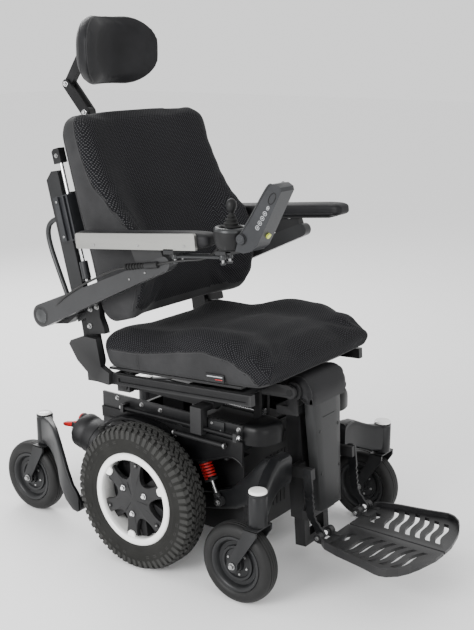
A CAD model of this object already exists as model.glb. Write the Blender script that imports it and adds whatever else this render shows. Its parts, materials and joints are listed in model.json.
import bpy
import bmesh
import json
import math
from mathutils import Matrix, Vector
from mathutils.bvhtree import BVHTree


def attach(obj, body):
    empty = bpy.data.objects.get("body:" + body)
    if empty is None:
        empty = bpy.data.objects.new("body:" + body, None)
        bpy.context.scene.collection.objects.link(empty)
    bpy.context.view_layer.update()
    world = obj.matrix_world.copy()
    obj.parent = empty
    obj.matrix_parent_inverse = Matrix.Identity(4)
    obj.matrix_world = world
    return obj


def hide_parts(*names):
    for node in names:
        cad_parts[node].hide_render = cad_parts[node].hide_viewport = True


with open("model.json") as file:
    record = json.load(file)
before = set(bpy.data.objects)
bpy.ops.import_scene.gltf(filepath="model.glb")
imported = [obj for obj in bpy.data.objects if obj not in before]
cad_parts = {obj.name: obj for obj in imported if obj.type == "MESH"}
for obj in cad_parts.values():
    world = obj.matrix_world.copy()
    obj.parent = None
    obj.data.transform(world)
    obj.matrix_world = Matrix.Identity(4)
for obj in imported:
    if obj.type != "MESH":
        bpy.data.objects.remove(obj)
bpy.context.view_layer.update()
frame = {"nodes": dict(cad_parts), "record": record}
JOINT = {j["name"]: j for j in frame["record"]["behaviour"]["joints"]}
AXLE_Y = JOINT["drive_spin_right"]["pos_m"][1] * 1000
TAU = math.tau
WELT_SINK = 0.3         # share of its radius that a seam's cord lies under the cloth
BEVEL_ANGLE = 32        # degrees between faces from which an edge is rounded
SHARP_ANGLE = 38        # degrees between faces from which the shading splits
KEEP_BEVEL_MM = 0.8     # rounding of the edges of CAD pieces that stay
KEEP_BEVEL_ANGLE = 30
JOIN_ANGLE = 1.2        # degrees under which a CAD piece's triangles are joined
LENS_MM = 61.02     # camera lens that fits the photograph, on a sensor 36 mm high


def linked(name, data):
    """A new object of this data, in the scene."""
    ob = bpy.data.objects.new(name, data)
    bpy.context.scene.collection.objects.link(ob)
    return ob


# ---------------------------------------------------------------- camera, light, floor
def set_camera():
    data = bpy.data.cameras.new("camera")
    cam = linked("camera", data)
    data.sensor_fit = "VERTICAL"
    data.sensor_height = 36.0
    data.lens = LENS_MM
    cam.location = (-2.05255, -1.60659 + AXLE_Y / 1000, 1.23065)
    look = Vector((.7774, .5780, -.2461))
    cam.rotation_euler = look.to_track_quat("-Z", "Y").to_euler()
    bpy.context.scene.camera = cam


def area_light(name, spot, aim, size, power):
    data = bpy.data.lights.new(name, "AREA")
    data.shape = "RECTANGLE"
    data.size, data.size_y = size
    data.energy = power
    lamp = linked(name, data)
    lamp.location = spot
    lamp.rotation_euler = (Vector(aim) - Vector(spot)).to_track_quat("-Z", "Y").to_euler()


def set_stage():
    world = bpy.data.worlds.new("studio")
    bpy.context.scene.world = world
    world.use_nodes = True
    back = world.node_tree.nodes["Background"]
    back.inputs[0].default_value = (1, 1, 1, 1)
    back.inputs[1].default_value = 1.25
    area_light("key", (-3.4, 0.3, 1.7), (0, 0, 0.6), (1.8, 1.6), 150)
    area_light("rim", (1.4, 2.6, 2.4), (0, 0, 0.8), (1.8, 1.8), 80)
    area_light("front", (-1.0, -3.4, 1.0), (0, -0.2, 0.3), (2.0, 1.2), 25)
    bpy.ops.mesh.primitive_plane_add(size=40, location=(0, 0, 0))
    floor = bpy.context.object
    floor.name = "floor"
    m = bpy.data.materials.new("floor")
    m.use_nodes = True
    b = m.node_tree.nodes["Principled BSDF"]
    b.inputs["Base Color"].default_value = (0.96, 0.96, 0.96, 1)
    b.inputs["Roughness"].default_value = 0.9
    floor.data.materials.append(m)


# ---------------------------------------------------------------- materials
def node(nt, kind, at=(0, 0), **vals):
    n = nt.nodes.new(kind)
    n.location = at
    for k, v in vals.items():
        if k in n.inputs.keys():
            n.inputs[k].default_value = v
        else:
            setattr(n, k, v)
    return n


def material(name, color, rough=0.5, metal=0.0, grain=900.0, bump=0.15, vary=0.12, rough_vary=0.08,
             wear=0.0,
             coat=0.0, sheen=0.0, spec=0.32, bump_dist=0.0006, stretch=(1, 1, 1)):
    """A painted, moulded or metal surface: fine grain, uneven colour and gloss, and worn edges."""
    m = bpy.data.materials.new(name)
    m.use_nodes = True
    nt = m.node_tree
    bsdf = nt.nodes["Principled BSDF"]
    bsdf.inputs["Metallic"].default_value = metal
    bsdf.inputs["Coat Weight"].default_value = coat
    bsdf.inputs["Sheen Weight"].default_value = sheen
    bsdf.inputs["Specular IOR Level"].default_value = spec
    tex = node(nt, "ShaderNodeTexCoord", (-1200, 0))
    mapping = node(nt, "ShaderNodeMapping", (-1000, 0))
    mapping.inputs["Scale"].default_value = stretch
    nt.links.new(tex.outputs["Object"], mapping.inputs["Vector"])
    blot = node(nt, "ShaderNodeTexNoise", (-800, 200), Scale=18.0, Detail=5.0, Roughness=0.6)
    fine = node(nt, "ShaderNodeTexNoise", (-800, -200), Scale=grain, Detail=2.0)
    for n in (blot, fine):
        nt.links.new(mapping.outputs[0], n.inputs["Vector"])
    ramp = node(nt, "ShaderNodeValToRGB", (-560, 260))
    lo = [max(0.0, c * (1 - vary)) for c in color]
    hi = [min(1.0, c * (1 + vary) + 0.004) for c in color]
    ramp.color_ramp.elements[0].position = 0.3
    ramp.color_ramp.elements[0].color = (*lo, 1)
    ramp.color_ramp.elements[1].position = 0.7
    ramp.color_ramp.elements[1].color = (*hi, 1)
    nt.links.new(blot.outputs["Fac"], ramp.inputs["Fac"])
    out = ramp.outputs["Color"]
    if wear:
        geo = node(nt, "ShaderNodeNewGeometry", (-800, 480))
        edge = node(nt, "ShaderNodeMapRange", (-560, 480))
        edge.inputs["From Min"].default_value = 0.53
        edge.inputs["From Max"].default_value = 0.62
        edge.inputs["To Max"].default_value = wear
        nt.links.new(geo.outputs["Pointiness"], edge.inputs["Value"])
        mix = node(nt, "ShaderNodeMix", (-300, 320), data_type="RGBA")
        nt.links.new(edge.outputs[0], mix.inputs["Factor"])
        nt.links.new(out, mix.inputs["A"])
        mix.inputs["B"].default_value = (*[min(1, c * 2.2 + 0.06) for c in color], 1)
        out = mix.outputs["Result"]
    nt.links.new(out, bsdf.inputs["Base Color"])
    rr = node(nt, "ShaderNodeMapRange", (-560, -20))
    rr.inputs["To Min"].default_value = max(0.03, rough - rough_vary)
    rr.inputs["To Max"].default_value = min(1.0, rough + rough_vary)
    nt.links.new(blot.outputs["Fac"], rr.inputs["Value"])
    nt.links.new(rr.outputs[0], bsdf.inputs["Roughness"])
    if bump:
        bp = node(nt, "ShaderNodeBump", (-300, -200), Strength=bump, Distance=bump_dist)
        nt.links.new(fine.outputs["Fac"], bp.inputs["Height"])
        nt.links.new(bp.outputs[0], bsdf.inputs["Normal"])
    return m


def knit(name, base, dot, pitch=0.0046, sheen=0.02):
    """Spacer mesh: small pale dots on a black knit, laid on whichever plane the surface faces."""
    m = bpy.data.materials.new(name)
    m.use_nodes = True
    nt = m.node_tree
    bsdf = nt.nodes["Principled BSDF"]
    bsdf.inputs["Roughness"].default_value = 0.86
    bsdf.inputs["Sheen Weight"].default_value = sheen
    bsdf.inputs["Specular IOR Level"].default_value = 0.12
    tex = node(nt, "ShaderNodeTexCoord", (-1600, 0))
    pos = node(nt, "ShaderNodeSeparateXYZ", (-1400, 150))
    nt.links.new(tex.outputs["Object"], pos.inputs[0])
    nrm = node(nt, "ShaderNodeSeparateXYZ", (-1400, -250))
    nt.links.new(tex.outputs["Normal"], nrm.inputs[0])

    def dots(a, b, y):
        comb = node(nt, "ShaderNodeCombineXYZ", (-1200, y))
        nt.links.new(pos.outputs[a], comb.inputs[0])
        nt.links.new(pos.outputs[b], comb.inputs[1])
        rot = node(nt, "ShaderNodeMapping", (-1040, y))
        rot.inputs["Rotation"].default_value = (0, 0, math.radians(45))
        nt.links.new(comb.outputs[0], rot.inputs["Vector"])
        vor = node(nt, "ShaderNodeTexVoronoi", (-860, y), voronoi_dimensions="2D", Scale=1 / pitch,
                   Randomness=0.12)
        nt.links.new(rot.outputs[0], vor.inputs["Vector"])
        return vor.outputs["Distance"]

    def magnitude(k, y):
        n = node(nt, "ShaderNodeMath", (-1200, y), operation="ABSOLUTE")
        nt.links.new(nrm.outputs[k], n.inputs[0])
        return n.outputs[0]

    side, front, top = dots(1, 2, 400), dots(0, 2, 200), dots(0, 1, 0)
    ax, ay, az = magnitude(0, -200), magnitude(1, -320), magnitude(2, -440)

    def bigger(p, q, y):
        n = node(nt, "ShaderNodeMath", (-1000, y), operation="GREATER_THAN")
        nt.links.new(p, n.inputs[0])
        nt.links.new(q, n.inputs[1])
        return n.outputs[0]

    def choose(f, a, b, y):
        n = node(nt, "ShaderNodeMix", (-640, y), data_type="FLOAT")
        nt.links.new(f, n.inputs["Factor"])
        nt.links.new(a, n.inputs["A"])
        nt.links.new(b, n.inputs["B"])
        return n.outputs["Result"]

    flat = choose(bigger(az, ay, -300), front, top, 100)
    most = node(nt, "ShaderNodeMath", (-1000, -420), operation="MAXIMUM")
    nt.links.new(ay, most.inputs[0])
    nt.links.new(az, most.inputs[1])
    d = choose(bigger(ax, most.outputs[0], -480), flat, side, 250)
    ramp = node(nt, "ShaderNodeValToRGB", (-420, 200))
    ramp.color_ramp.elements[0].position = 0.16
    ramp.color_ramp.elements[0].color = (*dot, 1)
    ramp.color_ramp.elements[1].position = 0.30
    ramp.color_ramp.elements[1].color = (*base, 1)
    nt.links.new(d, ramp.inputs["Fac"])
    blot = node(nt, "ShaderNodeTexNoise", (-640, 500), Scale=9.0, Detail=4.0)
    nt.links.new(tex.outputs["Object"], blot.inputs["Vector"])
    shade = node(nt, "ShaderNodeMapRange", (-420, 500))
    shade.inputs["To Min"].default_value = 0.8
    shade.inputs["To Max"].default_value = 1.2
    nt.links.new(blot.outputs["Fac"], shade.inputs["Value"])
    mul = node(nt, "ShaderNodeMix", (-160, 300), data_type="RGBA", blend_type="MULTIPLY")
    mul.inputs["Factor"].default_value = 1.0
    nt.links.new(ramp.outputs["Color"], mul.inputs["A"])
    nt.links.new(shade.outputs[0], mul.inputs["B"])
    nt.links.new(mul.outputs["Result"], bsdf.inputs["Base Color"])
    bp = node(nt, "ShaderNodeBump", (-160, -200), Strength=0.6, Distance=0.0012)
    bp.invert = True
    nt.links.new(d, bp.inputs["Height"])
    nt.links.new(bp.outputs[0], bsdf.inputs["Normal"])
    return m


MAT = {}


def make_materials():
    MAT["black"] = material("black_paint", (0.003, 0.003, 0.0035), 0.42, bump=0.06, grain=1400,
                            wear=0.25, spec=0.2)
    MAT["shroud"] = material("shroud", (0.0022, 0.0022, 0.0026), 0.34, bump=0.05, grain=1600,
                             wear=0.15, spec=0.16)
    MAT["plastic"] = material("plastic", (0.004, 0.004, 0.0045), 0.48, bump=0.22, grain=1800,
                              wear=0.2, spec=0.22)
    MAT["panel"] = material("panel", (0.012, 0.013, 0.015), 0.36, bump=0.08, grain=1800, wear=0.2)
    MAT["arm"] = material("arm_grey", (0.006, 0.0063, 0.007), 0.34, bump=0.05, grain=1500,
                          wear=0.25, spec=0.25)
    MAT["fork"] = material("fork_grey", (0.007, 0.0073, 0.008), 0.38, bump=0.06, grain=1500,
                           wear=0.35, spec=0.25)
    MAT["lever"] = material("lever_grey", (0.007, 0.0073, 0.008), 0.32, bump=0.06, grain=1500,
                            wear=0.3, spec=0.22)
    MAT["hub"] = material("hub_cover", (0.007, 0.007, 0.0075), 0.40, bump=0.10, grain=1700,
                          wear=0.2)
    MAT["motor"] = material("motor_cast", (0.012, 0.012, 0.013), 0.48, metal=0.3, bump=0.25,
                            grain=700, wear=0.35)
    MAT["white"] = material("white_rim", (0.84, 0.84, 0.82), 0.26, bump=0.04, grain=900, vary=0.04,
                            coat=0.4, spec=0.5)
    MAT["tyre"] = material("tyre", (0.010, 0.010, 0.009), 0.80, bump=0.35, grain=1100, vary=0.2,
                           wear=0.25, spec=0.2)
    MAT["castor"] = material("castor_tyre", (0.005, 0.005, 0.005), 0.55, bump=0.2, grain=1300,
                             vary=0.15, spec=0.28)
    MAT["chrome"] = material("chrome", (0.78, 0.78, 0.79), 0.16, metal=1.0, bump=0.03, grain=300,
                             vary=0.04,
                             rough_vary=0.06)
    MAT["steel"] = material("steel", (0.34, 0.34, 0.34), 0.34, metal=1.0, bump=0.12, grain=500,
                            vary=0.08,
                            stretch=(1, 12, 1))
    MAT["tube"] = material("tube_grey", (0.028, 0.029, 0.030), 0.34, metal=0.4, bump=0.05,
                           grain=1200, wear=0.2)
    MAT["rail"] = material("rail_alloy", (0.30, 0.30, 0.285), 0.42, metal=0.85, bump=0.12,
                           grain=420, vary=0.06,
                           stretch=(1, 0.05, 1))
    MAT["red"] = material("red", (0.42, 0.012, 0.012), 0.34, bump=0.05, grain=900, vary=0.1,
                          coat=0.2)
    MAT["button"] = material("button", (0.55, 0.62, 0.08), 0.35, bump=0.03, grain=900, vary=0.06,
                             coat=0.2)
    MAT["mark"] = material("pale_mark", (0.33, 0.34, 0.35), 0.5, bump=0.0, vary=0.05)
    MAT["skin"] = material("coated_pad", (0.004, 0.004, 0.005), 0.52, bump=0.5, grain=620, vary=0.2,
                           sheen=0.02,
                           bump_dist=0.0005, spec=0.2)
    MAT["cloth"] = material("side_cloth", (0.023, 0.023, 0.024), 0.82, bump=0.4, grain=1500,
                            vary=0.16, sheen=0.06,
                            spec=0.12)
    MAT["thread"] = material("thread", (0.022, 0.022, 0.023), 0.8, bump=0.3, grain=2600, vary=0.2,
                             sheen=0.1, spec=0.15)
    MAT["mesh"] = knit("spacer_mesh", (0.004, 0.004, 0.005), (0.046, 0.046, 0.049))
    MAT["mesh_wide"] = knit("wide_mesh", (0.005, 0.005, 0.006), (0.058, 0.058, 0.061), pitch=0.0055)
    MAT["cover"] = material("leg_cover", (0.011, 0.0115, 0.012), 0.44, bump=0.3, grain=900,
                            wear=0.2)
    MAT["foot"] = material("foot_plastic", (0.005, 0.005, 0.0055), 0.40, bump=0.25, grain=1000,
                           wear=0.3, spec=0.28)
    MAT["rubber"] = material("rubber", (0.008, 0.008, 0.008), 0.7, bump=0.25, grain=1200, spec=0.2)
    MAT["battery"] = material("battery", (0.02, 0.023, 0.028), 0.5, bump=0.2, grain=1200)
    MAT["cable"] = material("cable", (0.008, 0.008, 0.008), 0.45, bump=0.1, grain=1500)


# ---------------------------------------------------------------- frames, all in mm inside
def spot(x, y, z):
    return Vector((x, y + AXLE_Y, z)) / 1000


def local(x, y, z, turn):
    """A frame in mm at a spot, turned about the chair's width by so many degrees."""
    lean = Matrix.Rotation(math.radians(turn), 4, "X")
    return Matrix.Translation(spot(x, y, z)) @ lean @ Matrix.Scale(.001, 4)


AXLE = local(0, 0, 0, 0)
SEAT = local(0, 0, 440, -3.6)
BACK = local(0, 150, 575, -14.8)
PAD = local(0, 183, 768, -5.6)
LEG = local(0, -310, 452, -4)
MOTOR = local(190, 0, 178, 17)
SHOCK = local(185, -112, 285, -26)


def catmull(points, closed=False, step=8):
    pts = [Vector(p) for p in points]
    n = len(pts)
    out = []
    last = n if closed else n - 1
    for i in range(last):
        p0 = pts[(i - 1) % n] if closed or i else pts[0]
        p1, p2 = pts[i], pts[(i + 1) % n]
        p3 = pts[(i + 2) % n] if closed or i + 2 < n else pts[-1]
        for k in range(step):
            t = k / step
            out.append(0.5 * ((2 * p1) + (p2 - p0) * t + (2 * p0 - 5 * p1 + 4 * p2 - p3) * t * t
                              + (3 * p1 - p0 - 3 * p2 + p3) * t ** 3))
    if not closed:
        out.append(pts[-1])
    return out


def bands(rows, n):
    """Faces between rows of n points each, every row going right round."""
    return [(i * n + k, i * n + (k + 1) % n, (i + 1) * n + (k + 1) % n, (i + 1) * n + k)
            for i in range(rows - 1) for k in range(n)]


def turned(seg, n, closed=False):
    """Faces of a profile of n points turned in seg steps right round."""
    return [(i * n + k, (i + 1) % seg * n + k, (i + 1) % seg * n + (k + 1) % n, i * n + (k + 1) % n)
            for i in range(seg) for k in range(n if closed else n - 1)]


def half_round(centre, r, start, steps=12):
    """Half a circle of points, from the angle start in radians."""
    angles = [start + math.pi * k / steps for k in range(steps + 1)]
    return [(centre[0] + r * math.cos(t), centre[1] + r * math.sin(t)) for t in angles]


# Corners of a block come in pairs of pairs; these are its six faces
BLOCK = [(0, 1, 3, 2), (4, 6, 7, 5), (0, 4, 5, 1), (2, 3, 7, 6), (1, 5, 7, 3), (0, 2, 6, 4)]


class Piece:
    """One visible piece, gathered in mm in a local frame from turned, swept and extruded parts."""

    def __init__(self, name, at=AXLE, side=1):
        self.name, self.at, self.side = name, at, side
        self.bm = bmesh.new()
        self.mats = []

    def slot(self, mat):
        if mat not in self.mats:
            self.mats.append(mat)
        return self.mats.index(mat)

    def add(self, verts, faces, mat, smooth=True):
        m = self.slot(mat)
        vs = [self.bm.verts.new(v) for v in verts]
        for f in faces:
            try:
                face = self.bm.faces.new([vs[i] for i in f])
            except ValueError:
                continue
            face.material_index = m
            face.smooth = smooth

    def lathe(self, profile, mat, centre=(0, 0, 0), axis="X", seg=64, closed=True):
        """profile is (radius, along) round the axis; radius 0 ends are closed by a fan."""
        verts = []
        for i in range(seg):
            a = TAU * i / seg
            c, s = math.cos(a), math.sin(a)
            for r, t in profile:
                p = {"X": (t, r * c, r * s), "Y": (r * s, t, r * c), "Z": (r * c, r * s, t)}[axis]
                verts.append(tuple(p[k] + centre[k] for k in range(3)))
        self.add(verts, turned(seg, len(profile), closed), mat)

    def rod(self, a, b, r, mat, seg=20, chamfer=0.0):
        a, b = Vector(a), Vector(b)
        d = (b - a)
        length = d.length
        q = Vector((0, 0, 1)).rotation_difference(d.normalized())
        c = chamfer or min(1.0, r * 0.25, length * 0.2)
        prof = [(0, 0), (r - c, 0), (r, c), (r, length - c), (r - c, length), (0, length)]
        verts = []
        for i in range(seg):
            t = TAU * i / seg
            for rad, z in prof:
                verts.append(tuple(a + q @ Vector((rad * math.cos(t), rad * math.sin(t), z))))
        self.add(verts, turned(seg, len(prof)), mat)

    def tube(self, points, r, mat, seg=12, closed=False, raw=False):
        """A round bar through the points, or through a smooth line over them unless raw."""
        pts = [Vector(p) for p in points] if raw else catmull(points, closed)
        n = len(pts)
        verts, faces = [], []
        up = None
        for i, p in enumerate(pts):
            a = pts[i - 1] if i or closed else pts[0]
            b = pts[(i + 1) % n] if i + 1 < n or closed else pts[-1]
            t = (b - a).normalized()
            if up is None:
                up = t.orthogonal().normalized()
            up = (up - t * up.dot(t)).normalized()
            w = t.cross(up)
            for k in range(seg):
                q = TAU * k / seg
                verts.append(tuple(p + (up * math.cos(q) + w * math.sin(q)) * r))
        rows = n if closed else n - 1
        for i in range(rows):
            j = (i + 1) % n
            for k in range(seg):
                l = (k + 1) % seg
                faces.append((i * seg + k, i * seg + l, j * seg + l, j * seg + k))
        if not closed:
            faces.append(tuple(reversed(range(seg))))
            faces.append(tuple((n - 1) * seg + k for k in range(seg)))
        self.add(verts, faces, mat)

    def prism(self, outline, mat, lo, hi, axis="X"):
        """outline is in the two other axes' order: X -> (y, z), Y -> (x, z), Z -> (x, y)."""
        place = {"X": lambda p, t: (t, p[0], p[1]), "Y": lambda p, t: (p[0], t, p[1]),
                 "Z": lambda p, t: (p[0], p[1], t)}[axis]
        n = len(outline)
        verts = [place(p, lo) for p in outline] + [place(p, hi) for p in outline]
        faces = [tuple(range(n)), tuple(reversed(range(n, 2 * n)))]
        faces += [(i, i + n, (i + 1) % n + n, (i + 1) % n) for i in range(n)]
        self.add(verts, faces, mat, smooth=False)

    def box(self, x0, x1, y0, y1, z0, z1, mat):
        self.prism([(y0, z0), (y1, z0), (y1, z1), (y0, z1)], mat, x0, x1)

    def bolt(self, p, axis, r, h, mat="steel", hexagon=True, washer=True):
        p, axis = Vector(p), Vector(axis).normalized()
        q = Vector((0, 0, 1)).rotation_difference(axis)
        if washer:
            self.rod(p, p + axis * (h * 0.25), r * 1.35, mat, seg=24, chamfer=0.2)
        base = p + axis * (h * 0.2)
        n = 6 if hexagon else 18
        verts = []
        rows = [(r, 0.0), (r, h * 0.72), (r * 0.84, h * 0.95)]
        if not hexagon:
            rows += [(r * 0.5, h * 0.95), (r * 0.45, h * 0.5)]
        for rad, z in rows:
            for k in range(n):
                t = TAU * k / n
                verts.append(tuple(base + q @ Vector((rad * math.cos(t), rad * math.sin(t), z))))
        faces = bands(len(rows), n)
        faces.append(tuple((len(rows) - 1) * n + k for k in range(n)))
        faces.append(tuple(reversed(range(n))))
        self.add(verts, faces, mat, smooth=not hexagon)

    def ball(self, c, r, mat, seg=20, rings=12):
        prof = []
        for i in range(rings + 1):
            t = math.pi * i / rings
            prof.append((max(0.0, math.sin(t)) * r, -math.cos(t) * r))
        verts = []
        for i in range(seg):
            a = TAU * i / seg
            for rad, z in prof:
                verts.append((c[0] + rad * math.cos(a), c[1] + rad * math.sin(a), c[2] + z))
        self.add(verts, turned(seg, len(prof)), mat)

    def done(self, body, bevel=0.0, seg=2, replaces=(), merge=True):
        """Makes the object, mirrored for the right side, and rides it on its body."""
        bm = self.bm
        if merge:
            bmesh.ops.remove_doubles(bm, verts=bm.verts, dist=0.01)
            bmesh.ops.dissolve_degenerate(bm, edges=bm.edges, dist=0.005)
        bm.transform(self.at)
        if self.side < 0:
            bm.transform(Matrix.Scale(-1, 4, (1, 0, 0)))
        bmesh.ops.recalc_face_normals(bm, faces=bm.faces)
        me = bpy.data.meshes.new(self.name)
        bm.to_mesh(me)
        bm.free()
        for k in self.mats:
            me.materials.append(MAT[k])
        for p in me.polygons:
            p.use_smooth = True
        ob = linked(self.name, me)
        if bevel:
            b = ob.modifiers.new("edges", "BEVEL")
            b.width = bevel / 1000
            b.segments = seg
            b.limit_method = "ANGLE"
            b.angle_limit = math.radians(BEVEL_ANGLE)
            b.harden_normals = False
        auto_smooth(ob, SHARP_ANGLE)
        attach(ob, body)
        if replaces:
            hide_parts(*replaces)


def auto_smooth(ob, angle):
    """Splits the shading at sharp edges, in the mesh itself."""
    me = ob.data
    bm = bmesh.new()
    bm.from_mesh(me)
    lim = math.radians(angle)
    for e in bm.edges:
        if len(e.link_faces) == 2 and e.calc_face_angle(0) > lim:
            e.smooth = False
    bm.to_mesh(me)
    bm.free()


def keep(name, mat):
    """A CAD piece whose shape is right: flat faces joined, edges rounded, a better material."""
    ob = frame["nodes"][name]
    ob.data.materials.clear()
    ob.data.materials.append(MAT[mat])
    d = ob.modifiers.new("joined", "DECIMATE")
    d.decimate_type = "DISSOLVE"
    d.angle_limit = math.radians(JOIN_ANGLE)
    b = ob.modifiers.new("edges", "BEVEL")
    b.width = KEEP_BEVEL_MM / 1000
    b.segments = 2
    b.limit_method = "ANGLE"
    b.angle_limit = math.radians(KEEP_BEVEL_ANGLE)
    b.use_clamp_overlap = True


SIDES = (("right", -1), ("left", 1))
set_camera()
set_stage()
make_materials()


# ---------------------------------------------------------------- drive wheels
def drive_wheel(s, sg):
    body = "drive_wheel_" + s
    c = (278, 0, 178)
    t = Piece("drive_tyre_" + s, side=sg)
    prof = [(114.5, -30), (117, -33.5), (122, -35), (126, -34.5), (128, -35.6), (131, -35.8),
            (134, -35), (150, -37.2),
            (160, -36.4), (166, -34), (170.3, -29), (172.6, -20), (173.4, -10), (173.6, 0)]
    prof = prof + [(r, -w) for r, w in reversed(prof[:-1])]
    t.lathe(prof, "tyre", c, seg=120)
    # tread: four staggered rows of blocks, a row along each edge, and lugs down each shoulder
    pitches = 60

    def block(a0, a1, w0, w1, r0, r1, skew=0.0, shrink=0.12):
        verts = []
        for r, k in ((r0, 0.0), (r1, shrink)):
            da, dw = (a1 - a0) * k / 2, (w1 - w0) * k / 2
            for a, w in ((a0 + da, w0 + dw), (a1 - da, w0 + dw), (a1 - da, w1 - dw),
                         (a0 + da, w1 - dw)):
                aa = a + skew * (w - (w0 + w1) / 2) / (w1 - w0 + 1e-6)
                rr = r - max(0.0, abs(w) - 16) ** 2 * 0.020
                verts.append((c[0] + w, c[1] + rr * math.cos(aa), c[2] + rr * math.sin(aa)))
        t.add(verts, [(0, 1, 2, 3), (7, 6, 5, 4), (0, 4, 5, 1), (1, 5, 6, 2), (2, 6, 7, 3),
                      (3, 7, 4, 0)], "tyre",
              smooth=False)
    p = TAU / pitches
    for i in range(pitches):
        a = i * p
        block(a + 0.06 * p, a + 0.80 * p, -9.0, -1.2, 171, 178, skew=0.35 * p)
        block(a + 0.46 * p, a + 1.20 * p, 1.2, 9.0, 171, 178, skew=0.35 * p)
        block(a + 0.30 * p, a + 1.02 * p, -20.5, -11.2, 170, 178, skew=-0.30 * p)
        block(a + 0.06 * p, a + 0.78 * p, 11.2, 20.5, 170, 178, skew=-0.30 * p)
        for w in (-1, 1):
            b = a + (0.12 if w < 0 else 0.38) * p
            block(b, b + 0.62 * p, *sorted((w * 22.6, w * 33.2)), 168, 177.6, skew=0.15 * p * w,
                  shrink=0.10)
            # side lugs run down the shoulder
            verts = []
            for rr, ww in ((171.5, 33.4), (152, 37.4)):
                for q in (0.0, 0.56 * p):
                    for out in (-2.2, 1.2):
                        verts.append((c[0] + w * (ww + out * 0.75), rr * math.cos(b + q),
                                      c[2] + rr * math.sin(b + q)))
            t.add(verts, BLOCK, "tyre", smooth=False)
    # raised dashes on the side wall
    for k in range(36):
        a = TAU * k / 36
        if k % 9 in (0, 8):
            continue
        for rr in (141, 145):
            verts = []
            for q in (-0.035, 0.035):
                for r2 in (rr - 0.9, rr + 0.9):
                    for out in (-1, 0.7):
                        verts.append((c[0] + 36.1 + out, r2 * math.cos(a + q),
                                      c[2] + r2 * math.sin(a + q)))
            t.add(verts, BLOCK, "tyre", smooth=False)
    t.done(body, replaces=("drive_tyre_" + s,), merge=False)
    r = Piece("drive_rim_" + s, side=sg)
    r.lathe([(98.2, 22), (97.6, 28), (98.6, 33.2), (101, 35.4), (105, 36.0), (110.5, 35.4),
             (113.6, 33.8),
             (115.4, 31), (115.6, 27), (114.4, 24), (112, 20), (108, 14), (104, 6), (104, -14),
             (107, -24),
             (114.6, -27.5), (115.4, -31), (112.6, -33.6), (109, -31.2), (104.6, -26), (100.6, -16),
             (100.4, 8)],
            "white", c, seg=96)
    # three short stubs reach in from the ring
    for k in range(3):
        a0 = math.radians(-85 + 120 * k)
        out = []
        for da, rr in ((-0.125, 99), (-0.105, 88), (-0.06, 84), (0.06, 84), (0.105, 88),
                       (0.125, 99)):
            out.append((rr * math.cos(a0 + da), c[2] + rr * math.sin(a0 + da)))
        r.prism(out, "white", c[0] + 12, c[0] + 30)
    r.lathe([(20, -18), (60, -20), (98, -18), (100.6, -14), (98, -10), (60, -9), (34, -6), (33, 10),
             (20, 14),
             (12.5, 14), (12.5, -18)], "plastic", c, seg=72)
    for k in range(6):
        a0 = math.radians(19 + 60 * k)
        d = Vector((0, math.cos(a0), math.sin(a0)))
        n = Vector((0, -math.sin(a0), math.cos(a0)))
        base = Vector(c)
        pts = []
        for rad, hw, x0, x1 in ((30, 13, -8, 12), (99, 9, -10, 10)):
            for q in (-1, 1):
                for xx in (x0, x1):
                    pts.append(tuple(base + d * rad + n * q * hw + Vector((xx, 0, 0))))
        r.add(pts, BLOCK, "plastic", smooth=False)
    r.done(body, bevel=0.9, replaces=("drive_rim_" + s,), merge=False)
    # star-shaped cover: six arms that spread where they meet the ring
    h = Piece("hub_cover_" + s, side=sg)
    out = []
    for k in range(6):
        a0 = math.radians(60 * k + 35)
        for da, rr in ((-30, 50), (-24, 51.5), (-17, 57), (-12.5, 68), (-10.5, 82), (-10.5, 95),
                       (-4, 96.6),
                       (4, 96.6), (10.5, 95), (10.5, 82), (12.5, 68), (17, 57), (24, 51.5)):
            a = a0 + math.radians(da)
            out.append((rr * math.cos(a), rr * math.sin(a)))
    n = len(out)
    verts = []
    levels = ((14, 1.0), (26, 1.0), (28.2, 0.985))
    for x, k in levels:
        for y, z in out:
            rad = math.hypot(y, z)
            drop = max(0.0, rad - 40) * 0.05
            verts.append((c[0] + x - (drop if x > 20 else 0), y * k, c[2] + z * k))
    faces = bands(len(levels), n)
    faces.append(tuple(reversed(range(n))))
    verts.append((c[0] + 30.2, 0, c[2]))
    mid = len(verts) - 1
    inner = []
    for k in range(n):
        y, z = out[k]
        inner.append(len(verts))
        verts.append((c[0] + 29.6, y * 0.5, c[2] + z * 0.5))
    top = (len(levels) - 1) * n
    for k in range(n):
        l = (k + 1) % n
        faces.append((top + k, top + l, inner[l], inner[k]))
        faces.append((inner[k], inner[l], mid))
    h.add(verts, faces, "hub", smooth=False)
    for k in range(3):
        a = math.radians(35 + 120 * k)
        y, z = 38 * math.cos(a), c[2] + 38 * math.sin(a)
        h.lathe([(7.2, 27), (9.4, 27), (9.8, 30.2), (9.0, 31.2), (7.4, 31.2), (7.2, 30)], "hub",
                (c[0], y, z), seg=28)
        h.bolt((c[0] + 28.5, y, z), (1, 0, 0), 5.6, 5.5, "chrome", hexagon=True)
        a = math.radians(95 + 120 * k)
        y, z = 86 * math.cos(a), c[2] + 86 * math.sin(a)
        h.lathe([(3.4, 24), (5.6, 24), (6.0, 28.4), (5.2, 29.2), (3.8, 29.2), (3.4, 28)], "hub",
                (c[0], y, z), seg=20)
        h.bolt((c[0] + 25, y, z), (1, 0, 0), 2.8, 3.4, "steel", hexagon=False)
        # fine mould lines between the arms
        a = math.radians(65 + 120 * k)
        p0 = (c[0] + 29.9, 12 * math.cos(a), c[2] + 12 * math.sin(a))
        p1 = (c[0] + 29.7, 44 * math.cos(a), c[2] + 44 * math.sin(a))
        h.rod(p0, p1, 0.6, "plastic", seg=6)
    h.done(body, bevel=0.8, replaces=("hub_cover_" + s,), merge=False)


for s, sg in SIDES:
    drive_wheel(s, sg)


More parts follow.
